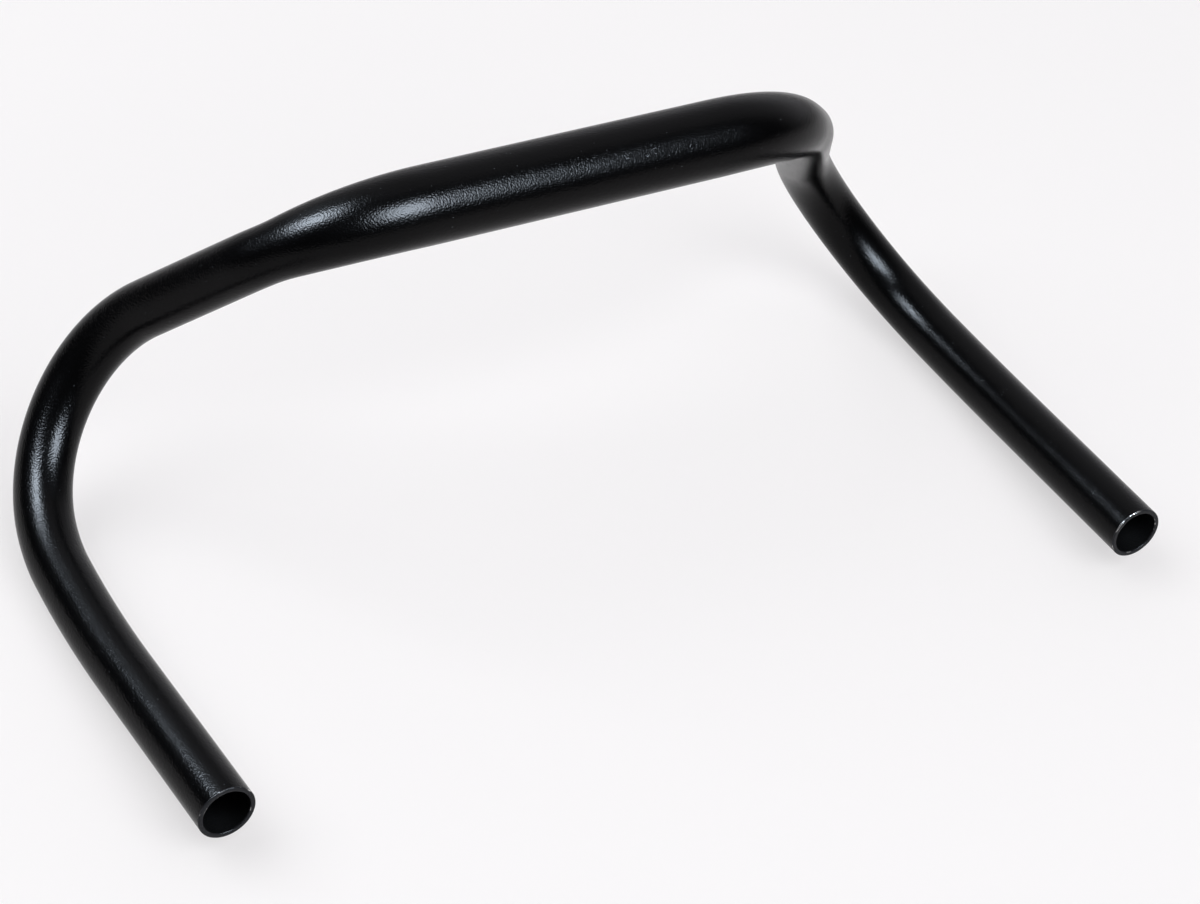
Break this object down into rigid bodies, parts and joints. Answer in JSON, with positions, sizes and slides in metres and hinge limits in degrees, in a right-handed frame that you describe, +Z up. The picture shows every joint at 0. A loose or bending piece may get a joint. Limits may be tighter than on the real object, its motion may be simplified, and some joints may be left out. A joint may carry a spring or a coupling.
{
  "type": "dirt drop handlebar",
  "caption": "Flared drop handlebar for off-road bicycles: one bent tube with a fat clamp bulge, tapered top bends, ramps, hooks and long open drops.",
  "frame": {"origin": "the middle of the stem clamp, on the tube's axis", "axes": "+X along the clamp, towards the rider's right; +Y forwards, away from the drops' open ends; +Z up, as the bar lies on a level table on the undersides of its hooks and drops"},
  "size_m": [0.451, 0.2254, 0.1722],
  "materials": {
    "black_tube": "satin black, very fine-grained coat over aluminium, with small scuffs at the clamp and bare chips on the cut ends"
  },
  "bodies": {
    "root": {"handlebar": "black_tube"}
  },
  "joints": []
}
